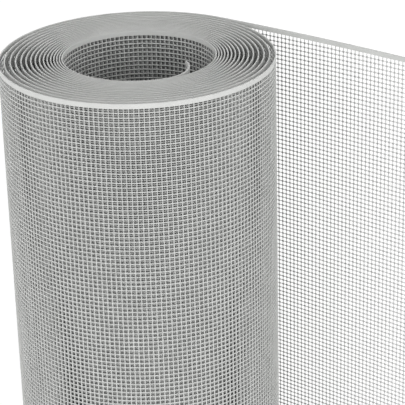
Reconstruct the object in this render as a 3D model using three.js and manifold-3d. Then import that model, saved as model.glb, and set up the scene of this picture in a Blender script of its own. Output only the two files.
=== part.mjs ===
import * as THREE from 'three';
import { mergeVertices } from 'three/addons/utils/BufferGeometryUtils.js';
import Module from 'manifold-3d';

// A roll of plastic balcony netting that stands on its end, with a free end unrolled behind its right side.
// Millimetres, +Z up, the roll seen from -Y. Plan angles run counterclockwise from +X.

// The sheet
const rollHeight = 1000;
const sheetThickness = 1.3;

// The winding, measured to the middle of the sheet
const innermostRadius = 77.6;
const innermostSpacing = 2.24;
const outermostSpacing = 6.37;
const turnCount = 15.655;
const innermostAngle = THREE.MathUtils.degToRad(288);

// The depth to which the gaps between the turns are open at both ends of the roll
const endGapDepth = 15;

// The inner end, which curls away from the bore wall
const curlRadius = 38;
const curlSweep = THREE.MathUtils.degToRad(92);

// The free end, which runs off the outermost turn in a long gentle bend
const freeEndLength = 330;
const freeEndBendRadius = 2400;

// How finely the round stretches are divided
const stepsPerTurn = 30;
const curlSteps = 8;
const freeEndSteps = 6;

// The moulded grey plastic
const netting = new THREE.MeshStandardMaterial({ color: 0xb9bab7, roughness: 0.5, metalness: 0 });
netting.name = 'netting';

const outermostAngle = innermostAngle - turnCount * 2 * Math.PI;

function onArc(centre, radius, angle) {
  return new THREE.Vector2(centre.x + radius * Math.cos(angle), centre.y + radius * Math.sin(angle));
}

// The radius of the sheet's middle after some number of turns, with the spacing growing evenly outward
function windingRadius(turns) {
  const spacingGrowth = (outermostSpacing - innermostSpacing) / turnCount;
  return innermostRadius + innermostSpacing * turns + spacingGrowth * turns * turns / 2;
}

function onWinding(turns, offset) {
  const angle = innermostAngle - turns * 2 * Math.PI;
  return onArc(new THREE.Vector2(0, 0), windingRadius(turns) + offset, angle);
}

// One side of the winding between two turn counts, clockwise and outward
function windingSide(fromTurns, toTurns, offset) {
  const steps = Math.ceil((toTurns - fromTurns) * stepsPerTurn);
  const points = [];
  for (let step = 0; step <= steps; step++) {
    const turns = THREE.MathUtils.lerp(fromTurns, toTurns, step / steps);
    points.push(onWinding(turns, offset));
  }
  return points;
}

// One side of the curl, from its tip to the bore wall, without the point on the wall
function curlSide(offset) {
  const centre = onArc(onWinding(0, 0), -curlRadius, innermostAngle);
  const points = [];
  for (let step = 0; step < curlSteps; step++) {
    const angle = innermostAngle + curlSweep * (1 - step / curlSteps);
    points.push(onArc(centre, curlRadius + offset, angle));
  }
  return points;
}

// One side of the free end, from the roll to its cut edge, without the point on the roll
function freeEndSide(offset) {
  const centre = onArc(onWinding(turnCount, 0), -freeEndBendRadius, outermostAngle);
  const sweep = freeEndLength / freeEndBendRadius;
  const points = [];
  for (let step = 1; step <= freeEndSteps; step++) {
    const angle = outermostAngle - sweep * step / freeEndSteps;
    points.push(onArc(centre, freeEndBendRadius + offset, angle));
  }
  return points;
}

function sheetSide(offset) {
  return [...curlSide(offset), ...windingSide(0, turnCount, offset), ...freeEndSide(offset)];
}

// The whole sheet in plan: curled inner end, all turns and free end
function sheetOutline() {
  const outerSide = sheetSide(sheetThickness / 2);
  const innerSide = sheetSide(-sheetThickness / 2);
  return new THREE.Shape([...outerSide, ...innerSide.reverse()]);
}

// The packed turns in plan: from the middle of the innermost turn to the middle of the outermost one
function packedTurnsOutline() {
  const outline = new THREE.Shape(windingSide(turnCount - 1, turnCount, 0).reverse());
  outline.holes.push(new THREE.Path(windingSide(0, 1, 0)));
  return outline;
}

function extrudeUp(outline, bottom, top) {
  const geometry = new THREE.ExtrudeGeometry(outline, { depth: top - bottom, bevelEnabled: false });
  geometry.translate(0, 0, bottom);
  return geometry;
}

// Points closer than this are one point of the solid
const weldDistance = 1e-4;

const wasm = await Module();
wasm.setup();

function toSolid(geometry) {
  geometry.deleteAttribute('normal');
  geometry.deleteAttribute('uv');
  const merged = mergeVertices(geometry, weldDistance);
  return new wasm.Manifold(new wasm.Mesh({
    numProp: 3,
    vertProperties: new Float32Array(merged.attributes.position.array),
    triVerts: new Uint32Array(merged.index.array),
  }));
}

function toGeometry(solid) {
  const mesh = solid.getMesh();
  const geometry = new THREE.BufferGeometry();
  geometry.setAttribute('position', new THREE.BufferAttribute(mesh.vertProperties, mesh.numProp));
  geometry.setIndex(new THREE.BufferAttribute(mesh.triVerts, 1));
  geometry.computeVertexNormals();
  return geometry;
}

// The roll is one sheet, so its packed turns, end edges, curl and free end are one solid
const sheet = sheetOutline();
const packedTurns = extrudeUp(packedTurnsOutline(), endGapDepth, rollHeight - endGapDepth);
const rollSolid = toSolid(extrudeUp(sheet, 0, rollHeight)).add(toSolid(packedTurns));

const roll = new THREE.Mesh(toGeometry(rollSolid), netting);
roll.name = 'netting_roll';

// The origin is the middle of the footprint, on the surface that the roll stands on
const footprint = new THREE.Box2().setFromPoints(sheet.getPoints());
const middle = footprint.getCenter(new THREE.Vector2());
roll.position.set(-middle.x, -middle.y, 0);

const part = new THREE.Group();
part.add(roll);

export default part;
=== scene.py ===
"""The looks of a standing roll of light grey plastic balcony netting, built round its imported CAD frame.

The strands that can be seen are real geometry. Lengths are in metres.
"""

import math

import bpy
import numpy as np
from mathutils import Matrix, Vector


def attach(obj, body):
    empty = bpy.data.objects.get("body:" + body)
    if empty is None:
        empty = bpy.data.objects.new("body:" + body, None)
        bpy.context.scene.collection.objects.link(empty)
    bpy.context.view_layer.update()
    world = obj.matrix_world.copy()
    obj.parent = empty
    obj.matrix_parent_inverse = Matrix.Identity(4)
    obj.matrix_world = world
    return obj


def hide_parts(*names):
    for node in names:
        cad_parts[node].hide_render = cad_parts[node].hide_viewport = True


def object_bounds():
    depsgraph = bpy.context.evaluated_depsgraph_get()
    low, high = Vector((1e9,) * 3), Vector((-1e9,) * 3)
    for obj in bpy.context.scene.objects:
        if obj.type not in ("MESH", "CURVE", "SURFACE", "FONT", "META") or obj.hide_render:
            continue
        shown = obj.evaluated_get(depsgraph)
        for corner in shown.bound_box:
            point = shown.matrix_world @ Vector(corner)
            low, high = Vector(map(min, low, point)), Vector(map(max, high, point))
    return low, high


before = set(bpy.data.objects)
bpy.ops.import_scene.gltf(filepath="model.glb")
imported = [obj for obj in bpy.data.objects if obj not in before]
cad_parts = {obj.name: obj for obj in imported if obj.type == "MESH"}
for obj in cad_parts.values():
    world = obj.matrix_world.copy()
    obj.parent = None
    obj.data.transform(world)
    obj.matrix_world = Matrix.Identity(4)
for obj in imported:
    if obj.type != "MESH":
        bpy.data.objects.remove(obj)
cad_low, cad_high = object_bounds()

MM = 0.001

# The winding, the curl and the free end, as in the CAD part
INNERMOST_RADIUS = 77.6 * MM
INNERMOST_SPACING = 2.24 * MM
OUTERMOST_SPACING = 6.37 * MM
TURN_COUNT = 15.655
INNERMOST_ANGLE = math.radians(288)
CURL_RADIUS = 38 * MM
CURL_SWEEP = math.radians(92)
FREE_END_LENGTH = 330 * MM
FREE_END_BEND_RADIUS = 2400 * MM
SHEET_THICKNESS = 1.3 * MM

# The mesh
ROLL_HEIGHT = cad_high.z - cad_low.z
ROW_PITCH = 4.83 * MM
COLUMN_PITCH = 4.9034 * MM
STRAND_WIDTH = 1.05 * MM
STRAND_DEPTH = 0.7 * MM
BORE_RING_WIDTH = 1.4 * MM
BORE_RING_DEPTH = 1.0 * MM
FREE_STRAND_WIDTH = 0.55 * MM

# The swellings where strands cross
NODE_REACH = 1.3 * MM
NODE_DEPTH = 0.6 * MM
FREE_NODE_REACH = 1.68 * MM

# The solid edges of the sheet, and how far the upright strands reach into them
EDGE_BAND_HEIGHT = 5.3 * MM
EDGE_BAND_BEVEL = 0.35 * MM
COLUMN_OVERLAP = STRAND_WIDTH

# How far the strands that run round lie outside the upright ones: in the bore they lie inside them
BORE_RING_OUTSET = -0.3 * MM
OUTER_RING_OUTSET = 0.12 * MM

# Where the turns that line the bore and the turns behind them end, and how many count as outer turns
BORE_TURNS = 1.05
BACKING_TURNS = 2.1
OUTER_TURNS = 4

# How deep the bore is seen into, and how far up from the lower end the turns behind its lining have rings
BORE_DEPTH_SEEN = 300 * MM
BACKING_DEPTH_BOTTOM = 150 * MM

# How deep the strands between the bore and the outer turns go, from the upper and from the lower end
MIDDLE_DEPTH_TOP = 62 * MM
MIDDLE_DEPTH_BOTTOM = 26 * MM

# The longest straight piece of a strand or edge that runs round the roll
BORE_STEP = 11 * MM
DEEP_BORE_STEP = 22 * MM
MIDDLE_STEP = 13 * MM
OUTER_STEPS = [20 * MM, 18 * MM, 16 * MM, 15 * MM]
FREE_END_STEP = 42 * MM
BAND_STEP = 7 * MM

# How finely the plan of the sheet and the closed rings are divided
WINDING_SAMPLES = 6000
ARC_SAMPLES = 60
PACKED_RING_SEGMENTS = 120

# Edges that are sharper than this stay sharp
BAND_SHARP_ANGLE = math.radians(35)
RING_SHARP_ANGLE = math.radians(40)

# The darker and the lighter grey that mottle the plastic
PLASTIC_GREYS = (0.39, 0.395, 0.385), (0.47, 0.475, 0.465)
# Painted shade: the turn behind the bore's lining is given a much darker grey, standing in for the shade it
# lies in
PAINTED_SHADE_GREYS = (0.09, 0.091, 0.089), (0.12, 0.121, 0.119)
# Painted shade: the free end's greys where it lies near the roll, a little darker than the rest of the
# plastic
FREE_END_GREYS = (0.37, 0.375, 0.365), (0.45, 0.455, 0.445)
# Painted shade: the swellings on the free end are painted far darker than the strands, though they are the
# same plastic
NODE_PAINTED_SHADE_GREYS = (0.13, 0.13, 0.128), (0.18, 0.18, 0.177)

# Painted light and shade on the free end: it is painted darker near the roll and paler toward its cut edge.
# These are its paler greys, and how far right of the roll's axis it starts and ends turning paler
FREE_END_PAINTED_LIGHT = (0.57, 0.57, 0.57)
NODE_PAINTED_LIGHT = (0.36, 0.36, 0.36)
PAINTED_LIGHT_START = 150 * MM
PAINTED_LIGHT_END = 285 * MM

# The surface of the plastic; noise scales count the features in a metre
MOTTLE_SCALE = 45
GLOSS_SCALE = 160
ROUGHNESS_RANGE = (0.38, 0.56)
SPECULAR_LEVEL = 0.4
GRAIN_SCALE = 1400
GRAIN_STRENGTH = 0.25
GRAIN_DEPTH = 0.1 * MM

# The turns that lie too deep to be told apart, painted dim with darker gaps as painted shade
PACKED_INNER_BRIGHTNESS = 0.1
PACKED_OUTER_BRIGHTNESS = 0.08
PACKED_GAP_SHARE = 0.4
PACKED_ROUGHNESS = 0.8
PACKED_NOISE_SCALE = 180
PACKED_NOISE_RANGE = (0.6, 1.0)

# The range in which nearly all values of a noise lie
NOISE_RANGE = (0.3, 0.7)

# The floor
FLOOR_HALF_WIDTH = 9.0
FLOOR_GREY = 0.45
FLOOR_ROUGHNESS = 0.9
FLOOR_GLOW = 0.64

# The light tent: how bright its walls and its top are, and between which elevations one fades to the other
TENT_WALL_LIGHT = 2.14
TENT_TOP_LIGHT = 0.2
TENT_EDGE_LOW = math.radians(28)
TENT_EDGE_HIGH = math.radians(43)

# The height that the soft box faces
SOFT_BOX_AIM = 0.8 * ROLL_HEIGHT

# The photograph's camera, measured from the roll's axis at its upper end
CAMERA_DISTANCE = 1737.2 * MM
CAMERA_RISE = 600.6 * MM
CAMERA_TILT = math.radians(23.84)
CAMERA_TURN = math.radians(2.02)
CAMERA_ROLL = math.radians(-1.52)
CAMERA_NEAREST = 0.05
CAMERA_FARTHEST = 60
FOCAL_LENGTH_PIXELS = 1794.6
PHOTO_WIDTH_PIXELS = 405
SENSOR_WIDTH_MM = 36.0


def arc(centre, radius, angles):
    """Points on an arc and its outward normals."""
    normals = np.stack([np.cos(angles), np.sin(angles)], axis=1)
    return centre + radius.reshape(-1, 1) * normals, normals


def winding_radius(turns):
    """Radius of the sheet's middle, with the spacing of the turns growing evenly outward."""
    growth = (OUTERMOST_SPACING - INNERMOST_SPACING) / TURN_COUNT
    return INNERMOST_RADIUS + INNERMOST_SPACING * turns + growth * turns**2 / 2


class SheetPath:
    """The plan of the sheet's middle: from the curl's tip, round all turns, to the free end's cut edge."""

    def __init__(self):
        turns = np.linspace(0, TURN_COUNT, WINDING_SAMPLES)
        winding_angles = INNERMOST_ANGLE - turns * 2 * math.pi
        axis = np.zeros(2)
        winding, winding_normals = arc(axis, winding_radius(turns), winding_angles)

        curl_angles = np.linspace(INNERMOST_ANGLE + CURL_SWEEP, INNERMOST_ANGLE, ARC_SAMPLES)[:-1]
        curl_centre = winding[0] - CURL_RADIUS * winding_normals[0]
        curl, curl_normals = arc(curl_centre, np.full(len(curl_angles), CURL_RADIUS), curl_angles)

        sweep = FREE_END_LENGTH / FREE_END_BEND_RADIUS
        free_angles = winding_angles[-1] - np.linspace(0, sweep, ARC_SAMPLES)[1:]
        free_centre = winding[-1] - FREE_END_BEND_RADIUS * winding_normals[-1]
        free, free_normals = arc(free_centre, np.full(len(free_angles), FREE_END_BEND_RADIUS), free_angles)

        self.points = np.concatenate([curl, winding, free])
        self.normals = np.concatenate([curl_normals, winding_normals, free_normals])
        steps = np.linalg.norm(np.diff(self.points, axis=0), axis=1)
        self.distance = np.concatenate([[0], np.cumsum(steps)])
        self.winding_turns = turns
        self.winding_distance = self.distance[len(curl) : len(curl) + len(winding)]
        self.length = self.distance[-1]

    def at(self, distances):
        """Plan points and outward normals at some distances along the sheet."""
        points = np.stack([np.interp(distances, self.distance, self.points[:, k]) for k in (0, 1)], axis=1)
        normals = np.stack([np.interp(distances, self.distance, self.normals[:, k]) for k in (0, 1)], axis=1)
        return points, normals

    def distance_at_turn(self, turns):
        return float(np.interp(turns, self.winding_turns, self.winding_distance))


path = SheetPath()

# The roll's axis in the frame: the CAD box starts at the leftmost and frontmost points of the sheet
axis_x = cad_low.x - path.points[:, 0].min() + SHEET_THICKNESS / 2
axis_y = cad_low.y - path.points[:, 1].min() + SHEET_THICKNESS / 2

# The rows and columns of strands
mesh_height = ROLL_HEIGHT - 2 * EDGE_BAND_HEIGHT + STRAND_WIDTH
hole_rows = round(mesh_height / ROW_PITCH)
row_pitch = mesh_height / hole_rows
lowest_row = EDGE_BAND_HEIGHT - STRAND_WIDTH / 2 + row_pitch
row_heights = lowest_row + row_pitch * np.arange(hole_rows - 1)
column_distances = np.arange(COLUMN_PITCH / 2, path.length, COLUMN_PITCH)


def make_piece(name, parts, material, sharp_angle=None):
    """One mesh object from (points, faces) parts whose faces all have the same number of corners."""
    corners = parts[0][1].shape[1]
    offsets = np.cumsum([0] + [len(points) for points, _ in parts[:-1]])
    points = np.concatenate([points for points, _ in parts])
    faces = np.concatenate([faces + offset for (_, faces), offset in zip(parts, offsets)])

    mesh = bpy.data.meshes.new(name)
    mesh.vertices.add(len(points))
    mesh.vertices.foreach_set("co", points.astype(np.float32).ravel())
    mesh.loops.add(faces.size)
    mesh.loops.foreach_set("vertex_index", faces.astype(np.int32).ravel())
    mesh.polygons.add(len(faces))
    mesh.polygons.foreach_set("loop_start", np.arange(0, faces.size, corners, dtype=np.int32))
    mesh.update(calc_edges=True)
    mesh.shade_smooth()
    if sharp_angle is not None:
        mesh.set_sharp_from_angle(angle=sharp_angle)
    mesh.materials.append(material)

    piece = bpy.data.objects.new(name, mesh)
    piece.location = (axis_x, axis_y, cad_low.z)
    bpy.context.scene.collection.objects.link(piece)
    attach(piece, "root")
    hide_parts("netting_roll")
    return piece


def tube_faces(stations, sides):
    """Quads of a tube of some stations with some sides, without its ends."""
    station = np.arange(stations - 1).reshape(-1, 1)
    side = np.arange(sides).reshape(1, -1)
    following = (side + 1) % sides
    quads = np.stack(
        [
            station * sides + side,
            station * sides + following,
            (station + 1) * sides + following,
            (station + 1) * sides + side,
        ],
        axis=-1,
    )
    return quads.reshape(-1, 4)


def end_faces(stations):
    """The two square ends of a tube with four sides."""
    last = (stations - 1) * 4
    return np.array([[3, 2, 1, 0], [last, last + 1, last + 2, last + 3]])


def repeated(faces, points_each, count):
    """The same faces for each of several copies."""
    shift = points_each * np.arange(count).reshape(-1, 1, 1)
    return (faces.reshape(1, -1, faces.shape[1]) + shift).reshape(-1, faces.shape[1])


def rings(start, end, step, heights, width=STRAND_WIDTH, depth=STRAND_DEPTH, outset=OUTER_RING_OUTSET):
    """The strands that run round the roll between two distances along the sheet."""
    stations = max(2, math.ceil((end - start) / step) + 1)
    plan, normals = path.at(np.linspace(start, end, stations))
    section = [(-1, -1), (1, -1), (1, 1), (-1, 1)]
    points = np.zeros((len(heights), stations, 4, 3))
    for corner, (outward, upward) in enumerate(section):
        offset = outward * depth / 2 + outset
        points[:, :, corner, :2] = plan + offset * normals
        points[:, :, corner, 2] = heights.reshape(-1, 1) + upward * width / 2
    faces = np.concatenate([tube_faces(stations, 4), end_faces(stations)])
    return points.reshape(-1, 3), repeated(faces, stations * 4, len(heights))


def columns(distances, bottom, top, width):
    """The upright strands at some distances along the sheet."""
    plan, normals = path.at(distances)
    tangents = np.stack([normals[:, 1], -normals[:, 0]], axis=1)
    section = [(-1, -1), (-1, 1), (1, 1), (1, -1)]
    points = np.zeros((len(distances), 2, 4, 3))
    for corner, (outward, along) in enumerate(section):
        place = plan + outward * STRAND_DEPTH / 2 * normals + along * width / 2 * tangents
        points[:, :, corner, :2] = place.reshape(-1, 1, 2)
    points[:, 0, :, 2] = bottom
    points[:, 1, :, 2] = top
    faces = np.concatenate([tube_faces(2, 4), end_faces(2)])
    return points.reshape(-1, 3), repeated(faces, 8, len(distances))


def columns_between(start, end, bottom, top, width=STRAND_WIDTH):
    inside = column_distances[(column_distances >= start) & (column_distances < end)]
    return columns(inside, bottom, top, width)


def nodes(distances, heights, reach=NODE_REACH):
    """A small swelling on both sides of each crossing of the strands."""
    plan, normals = path.at(distances)
    tangents = np.stack([normals[:, 1], -normals[:, 0]], axis=1)
    points = np.zeros((len(distances), len(heights), 6, 3))
    points[..., :2] = plan.reshape(-1, 1, 1, 2)
    points[..., 2] = heights.reshape(1, -1, 1)
    points[:, :, 0, :2] += (NODE_DEPTH * normals)[:, None]
    points[:, :, 1, :2] -= (NODE_DEPTH * normals)[:, None]
    points[:, :, 2, :2] += (reach * tangents)[:, None]
    points[:, :, 4, :2] -= (reach * tangents)[:, None]
    points[:, :, 3, 2] += reach
    points[:, :, 5, 2] -= reach
    rim = [2, 3, 4, 5]
    outer = [(0, rim[k], rim[(k + 1) % 4]) for k in range(4)]
    inner = [(1, rim[(k + 1) % 4], rim[k]) for k in range(4)]
    faces = np.array(outer + inner)
    return points.reshape(-1, 3), repeated(faces, 6, len(distances) * len(heights))


def edge_band(bottom, bevel_top, bevel_bottom):
    """The solid edge of the sheet, all along it, with its free edge a little bevelled."""
    stations = math.ceil(path.length / BAND_STEP) + 1
    plan, normals = path.at(np.linspace(0, path.length, stations))
    half = SHEET_THICKNESS / 2
    top = bottom + EDGE_BAND_HEIGHT
    section = [
        (-half, bottom + bevel_bottom),
        (-half + bevel_bottom, bottom),
        (half - bevel_bottom, bottom),
        (half, bottom + bevel_bottom),
        (half, top - bevel_top),
        (half - bevel_top, top),
        (-half + bevel_top, top),
        (-half, top - bevel_top),
    ]
    points = np.zeros((stations, len(section), 3))
    for corner, (offset, height) in enumerate(section):
        points[:, corner, :2] = plan + offset * normals
        points[:, corner, 2] = height
    last = (stations - 1) * len(section)
    start_cap = [[7, 4, 3, 0], [3, 2, 1, 0], [7, 6, 5, 4]]
    end_cap = [[last + k for k in reversed(face)] for face in start_cap]
    faces = np.concatenate([tube_faces(stations, len(section)), np.array(start_cap + end_cap)])
    return points.reshape(-1, 3), faces


def packed_ring(inner_radius, outer_radius, bottom, top):
    """A closed ring with square edges."""
    angles = np.linspace(0, 2 * math.pi, PACKED_RING_SEGMENTS, endpoint=False)
    section = [(inner_radius, bottom), (outer_radius, bottom), (outer_radius, top), (inner_radius, top)]
    points = np.zeros((PACKED_RING_SEGMENTS, 4, 3))
    for corner, (radius, height) in enumerate(section):
        points[:, corner, 0] = radius * np.cos(angles)
        points[:, corner, 1] = radius * np.sin(angles)
        points[:, corner, 2] = height
    faces = tube_faces(PACKED_RING_SEGMENTS + 1, 4) % (PACKED_RING_SEGMENTS * 4)
    return points.reshape(-1, 3), faces[:, ::-1]


def new_material(name):
    """An empty node material with its shader and output, and the node tree to add to."""
    material = bpy.data.materials.new(name)
    material.use_nodes = True
    tree = material.node_tree
    tree.nodes.clear()
    output = tree.nodes.new("ShaderNodeOutputMaterial")
    shader = tree.nodes.new("ShaderNodeBsdfPrincipled")
    tree.links.new(shader.outputs["BSDF"], output.inputs["Surface"])
    return material, tree, shader


def feed(tree, socket, value):
    """Links a node's output to a socket, or sets the socket to a number or colour."""
    if isinstance(value, bpy.types.NodeSocket):
        tree.links.new(value, socket)
    else:
        socket.default_value = value


def object_coordinates(tree):
    return tree.nodes.new("ShaderNodeTexCoord").outputs["Object"]


def split_axes(tree, vector):
    """The X, Y and Z of a point or direction."""
    split = tree.nodes.new("ShaderNodeSeparateXYZ")
    tree.links.new(vector, split.inputs["Vector"])
    return split.outputs


def noise(tree, coordinates, scale, detail):
    node = tree.nodes.new("ShaderNodeTexNoise")
    node.inputs["Scale"].default_value = scale
    node.inputs["Detail"].default_value = detail
    tree.links.new(coordinates, node.inputs["Vector"])
    return node.outputs["Fac"]


def map_range(tree, value, source, target, interpolation="LINEAR"):
    """A value carried over from one range to another."""
    node = tree.nodes.new("ShaderNodeMapRange")
    node.interpolation_type = interpolation
    node.inputs["From Min"].default_value = source[0]
    node.inputs["From Max"].default_value = source[1]
    node.inputs["To Min"].default_value = target[0]
    node.inputs["To Max"].default_value = target[1]
    tree.links.new(value, node.inputs["Value"])
    return node.outputs["Result"]


def opaque(colour):
    return (*colour, 1)


def blend_colours(tree, amount, first, second):
    node = tree.nodes.new("ShaderNodeMix")
    node.data_type = "RGBA"
    feed(tree, node.inputs[6], first)
    feed(tree, node.inputs[7], second)
    tree.links.new(amount, node.inputs["Factor"])
    return node.outputs[2]


def netting_plastic(name, greys, painted_light_grey=None):
    """Grey moulded plastic: mottled, satin and finely grained. It can be painted paler along the free end, as
    painted light away from the roll's painted shade.
    """
    material, tree, shader = new_material(name)
    coordinates = object_coordinates(tree)
    darker, lighter = greys
    mottle = noise(tree, coordinates, MOTTLE_SCALE, detail=3)
    colour = blend_colours(tree, mottle, opaque(darker), opaque(lighter))
    if painted_light_grey:
        # Painted light: the colour turns paler away from the roll, where the painted shade near the roll ends
        painted_light_amount = map_range(tree, split_axes(tree, coordinates)["X"], (PAINTED_LIGHT_START, PAINTED_LIGHT_END), (0, 1))
        colour = blend_colours(tree, painted_light_amount, colour, opaque(painted_light_grey))
    tree.links.new(colour, shader.inputs["Base Color"])
    gloss = noise(tree, coordinates, GLOSS_SCALE, detail=2)
    tree.links.new(map_range(tree, gloss, NOISE_RANGE, ROUGHNESS_RANGE), shader.inputs["Roughness"])
    bump = tree.nodes.new("ShaderNodeBump")
    bump.inputs["Strength"].default_value = GRAIN_STRENGTH
    bump.inputs["Distance"].default_value = GRAIN_DEPTH
    tree.links.new(noise(tree, coordinates, GRAIN_SCALE, detail=2), bump.inputs["Height"])
    tree.links.new(bump.outputs["Normal"], shader.inputs["Normal"])
    shader.inputs["Specular IOR Level"].default_value = SPECULAR_LEVEL
    return material


def calculate(tree, operation, first, second=0.0):
    """One step of arithmetic on node outputs or numbers."""
    node = tree.nodes.new("ShaderNodeMath")
    node.operation = operation
    feed(tree, node.inputs[0], first)
    feed(tree, node.inputs[1], second)
    return node.outputs["Value"]


def strand_lines(tree, cells):
    """White on the strands between whole numbers of cells, black in the holes."""
    place = calculate(tree, "FRACT", cells)
    from_strand = calculate(tree, "ABSOLUTE", calculate(tree, "SUBTRACT", place, 0.5))
    return calculate(tree, "LESS_THAN", from_strand, STRAND_WIDTH / ROW_PITCH / 2)


def packed_painted_shade(name, radius, brightness):
    """The turns that lie too deep to be told apart: dim strands crossing over dark gaps, with the shade they
    lie in painted into their colour.
    """
    material, tree, shader = new_material(name)
    coordinates = object_coordinates(tree)
    axes = split_axes(tree, coordinates)
    columns_round = float(round(2 * math.pi * radius / COLUMN_PITCH))
    angle = calculate(tree, "ARCTAN2", axes["Y"], axes["X"])
    column_lines = strand_lines(tree, calculate(tree, "MULTIPLY", angle, columns_round / (2 * math.pi)))
    row_lines = strand_lines(tree, calculate(tree, "DIVIDE", axes["Z"], ROW_PITCH))
    strands = calculate(tree, "MAXIMUM", column_lines, row_lines)
    unevenness = noise(tree, coordinates, PACKED_NOISE_SCALE, detail=2)
    cover = calculate(tree, "MULTIPLY", strands, map_range(tree, unevenness, NOISE_RANGE, PACKED_NOISE_RANGE))
    gap_colour = opaque((brightness * PACKED_GAP_SHARE,) * 3)
    strand_colour = opaque((brightness,) * 3)
    tree.links.new(blend_colours(tree, cover, gap_colour, strand_colour), shader.inputs["Base Color"])
    shader.inputs["Roughness"].default_value = PACKED_ROUGHNESS
    return material


plastic = netting_plastic("netting_plastic", PLASTIC_GREYS)
painted_shade_plastic = netting_plastic("painted_shade_plastic", PAINTED_SHADE_GREYS)
free_plastic = netting_plastic("free_plastic", FREE_END_GREYS, FREE_END_PAINTED_LIGHT)
node_painted_shade_plastic = netting_plastic("node_painted_shade_plastic", NODE_PAINTED_SHADE_GREYS, NODE_PAINTED_LIGHT)

# The heights at which the upright strands start and end
inside_top = ROLL_HEIGHT - EDGE_BAND_HEIGHT
columns_bottom = EDGE_BAND_HEIGHT - COLUMN_OVERLAP
columns_top = inside_top + COLUMN_OVERLAP

# Where the groups of turns start and end along the sheet
bore_end = path.distance_at_turn(BORE_TURNS)
backing_end = path.distance_at_turn(BACKING_TURNS)
outer_start = path.distance_at_turn(TURN_COUNT - OUTER_TURNS)
last_start = path.distance_at_turn(TURN_COUNT - 1)
free_start = path.distance_at_turn(TURN_COUNT)

# The curl and the turn that lines the bore
seen_rows = row_heights[row_heights > ROLL_HEIGHT - BORE_DEPTH_SEEN]
deep_rows = row_heights[row_heights <= ROLL_HEIGHT - BORE_DEPTH_SEEN]
bore_ring_shape = (BORE_RING_WIDTH, BORE_RING_DEPTH, BORE_RING_OUTSET)
make_piece(
    "bore_turns",
    [
        rings(0, bore_end, BORE_STEP, seen_rows, *bore_ring_shape),
        rings(0, bore_end, DEEP_BORE_STEP, deep_rows, *bore_ring_shape),
        columns_between(0, bore_end, columns_bottom, columns_top),
    ],
    plastic,
)

# The turn behind it, seen through its holes, with the shade it lies in painted into its colour, without rings
# where it lies too deep
make_piece(
    "bore_backing",
    [
        rings(bore_end, backing_end, BORE_STEP, seen_rows),
        rings(bore_end, backing_end, DEEP_BORE_STEP, row_heights[row_heights < BACKING_DEPTH_BOTTOM]),
        columns_between(bore_end, backing_end, columns_bottom, columns_top),
    ],
    painted_shade_plastic,
)

# The turns between the bore and the outer turns, as deep as can be seen from the ends
ring_top = ROLL_HEIGHT - MIDDLE_DEPTH_TOP
make_piece(
    "middle_turns_top",
    [
        rings(backing_end, outer_start, MIDDLE_STEP, row_heights[row_heights > ring_top]),
        columns_between(backing_end, outer_start, ring_top, columns_top),
    ],
    plastic,
)
make_piece(
    "middle_turns_bottom",
    [
        rings(backing_end, outer_start, MIDDLE_STEP, row_heights[row_heights < MIDDLE_DEPTH_BOTTOM]),
        columns_between(backing_end, outer_start, columns_bottom, MIDDLE_DEPTH_BOTTOM),
    ],
    plastic,
)

# The turns that lie too deep to be told apart are two closed rings, one inside the other, painted dark as
# painted shade
ring_inside = winding_radius(BACKING_TURNS) + 2 * SHEET_THICKNESS
ring_outside = winding_radius(TURN_COUNT - OUTER_TURNS) - 2 * SHEET_THICKNESS
ring_middle = (ring_inside + ring_outside) / 2
make_piece(
    "packed_turns_inner",
    [packed_ring(ring_inside, ring_middle, MIDDLE_DEPTH_BOTTOM, ring_top)],
    packed_painted_shade("packed_inner_painted_shade", ring_inside, PACKED_INNER_BRIGHTNESS),
    RING_SHARP_ANGLE,
)
make_piece(
    "packed_turns_outer",
    [packed_ring(ring_middle, ring_outside, MIDDLE_DEPTH_BOTTOM, ring_top)],
    packed_painted_shade("packed_outer_painted_shade", ring_outside, PACKED_OUTER_BRIGHTNESS),
    RING_SHARP_ANGLE,
)

# The outer turns, each over its full height
for turn in range(OUTER_TURNS):
    start = path.distance_at_turn(TURN_COUNT - OUTER_TURNS + turn)
    end = path.distance_at_turn(TURN_COUNT - OUTER_TURNS + turn + 1)
    make_piece(
        f"outer_turn_{turn + 1}",
        [
            rings(start, end, OUTER_STEPS[turn], row_heights),
            columns_between(start, end, columns_bottom, columns_top),
        ],
        plastic,
    )

# The free end, with the swellings where its strands cross
make_piece(
    "free_end",
    [
        rings(free_start, path.length, FREE_END_STEP, row_heights, FREE_STRAND_WIDTH),
        columns_between(free_start, path.length, columns_bottom, columns_top, FREE_STRAND_WIDTH),
    ],
    free_plastic,
)
# Its swellings are painted much darker than its strands as painted shade, and paler toward the cut edge as
# painted light
free_columns = column_distances[column_distances >= free_start]
make_piece("free_end_nodes", [nodes(free_columns, row_heights, FREE_NODE_REACH)], node_painted_shade_plastic)

# The swellings on the outermost turn, in two halves
last_columns = column_distances[(column_distances >= last_start) & (column_distances < free_start)]
upper_rows = row_heights[row_heights > ROLL_HEIGHT / 2]
lower_rows = row_heights[row_heights <= ROLL_HEIGHT / 2]
make_piece("outer_nodes_upper", [nodes(last_columns, upper_rows)], plastic)
make_piece("outer_nodes_lower", [nodes(last_columns, lower_rows)], plastic)

# The solid edges
make_piece("top_edge_band", [edge_band(inside_top, EDGE_BAND_BEVEL, 0)], plastic, BAND_SHARP_ANGLE)
make_piece("bottom_edge_band", [edge_band(0, 0, EDGE_BAND_BEVEL)], plastic, BAND_SHARP_ANGLE)


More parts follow.
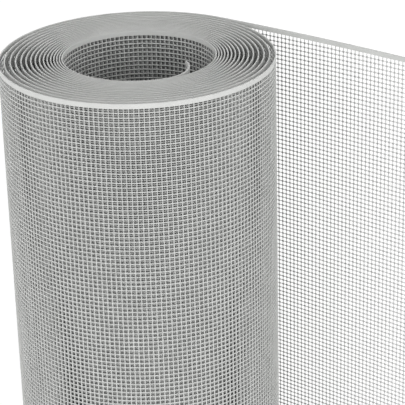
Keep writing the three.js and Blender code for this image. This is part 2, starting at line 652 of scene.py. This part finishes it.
def plain_floor():
    """A large pale floor that glows, like a lit studio sweep."""
    half = FLOOR_HALF_WIDTH
    mesh = bpy.data.meshes.new("studio_floor")
    corners = [(-half, -half, 0), (half, -half, 0), (half, half, 0), (-half, half, 0)]
    mesh.from_pydata(corners, [], [(0, 1, 2, 3)])
    material, _, shader = new_material("floor_paper")
    shader.inputs["Base Color"].default_value = (FLOOR_GREY, FLOOR_GREY, FLOOR_GREY, 1)
    shader.inputs["Roughness"].default_value = FLOOR_ROUGHNESS
    shader.inputs["Specular IOR Level"].default_value = 0.0
    shader.inputs["Emission Color"].default_value = (1, 1, 1, 1)
    shader.inputs["Emission Strength"].default_value = FLOOR_GLOW
    mesh.materials.append(material)
    floor = bpy.data.objects.new("studio_floor", mesh)
    floor.location = (0, 0, cad_low.z)
    bpy.context.scene.collection.objects.link(floor)


def soft_box(name, azimuth, elevation, distance, size, power):
    """A square area light that faces the roll. Azimuth 0 is in front, and 90 is on the right."""
    light = bpy.data.lights.new(name, "AREA")
    light.shape = "SQUARE"
    light.size = size
    light.energy = power
    lamp = bpy.data.objects.new(name, light)
    sideways = math.radians(azimuth)
    upward = math.radians(elevation)
    target = np.array([axis_x, axis_y, SOFT_BOX_AIM])
    toward = np.array(
        [math.sin(sideways) * math.cos(upward), -math.cos(sideways) * math.cos(upward), math.sin(upward)]
    )
    lamp.location = target + distance * toward
    lamp.rotation_euler = (math.pi / 2 - upward, 0, sideways)
    bpy.context.scene.collection.objects.link(lamp)


def studio_light():
    """A light tent: bright all round at the height of the horizon, dimmer overhead."""
    world = bpy.data.worlds.new("studio")
    world.use_nodes = True
    tree = world.node_tree
    background = tree.nodes["Background"]
    background.inputs["Color"].default_value = (1, 1, 1, 1)
    direction = tree.nodes.new("ShaderNodeTexCoord").outputs["Generated"]
    brightness = map_range(
        tree,
        split_axes(tree, direction)["Z"],
        (math.sin(TENT_EDGE_LOW), math.sin(TENT_EDGE_HIGH)),
        (TENT_WALL_LIGHT, TENT_TOP_LIGHT),
        "SMOOTHSTEP",
    )
    tree.links.new(brightness, background.inputs["Strength"])
    bpy.context.scene.world = world
    soft_box("soft_box_front", azimuth=6, elevation=20, distance=3.0, size=2.4, power=30)
    bpy.context.scene.view_settings.view_transform = "Standard"


def photo_camera():
    data = bpy.data.cameras.new("photo_camera")
    data.sensor_width = SENSOR_WIDTH_MM
    data.lens = FOCAL_LENGTH_PIXELS / PHOTO_WIDTH_PIXELS * SENSOR_WIDTH_MM
    data.clip_start = CAMERA_NEAREST
    data.clip_end = CAMERA_FARTHEST
    camera = bpy.data.objects.new("photo_camera", data)
    place = Matrix.Translation((axis_x, axis_y - CAMERA_DISTANCE, cad_low.z + ROLL_HEIGHT + CAMERA_RISE))
    turn = Matrix.Rotation(-CAMERA_TURN, 4, "Z")
    tilt = Matrix.Rotation(math.pi / 2 - CAMERA_TILT, 4, "X")
    roll = Matrix.Rotation(CAMERA_ROLL, 4, "Z")
    camera.matrix_world = place @ turn @ tilt @ roll
    bpy.context.scene.collection.objects.link(camera)
    bpy.context.scene.camera = camera


plain_floor()
studio_light()
photo_camera()
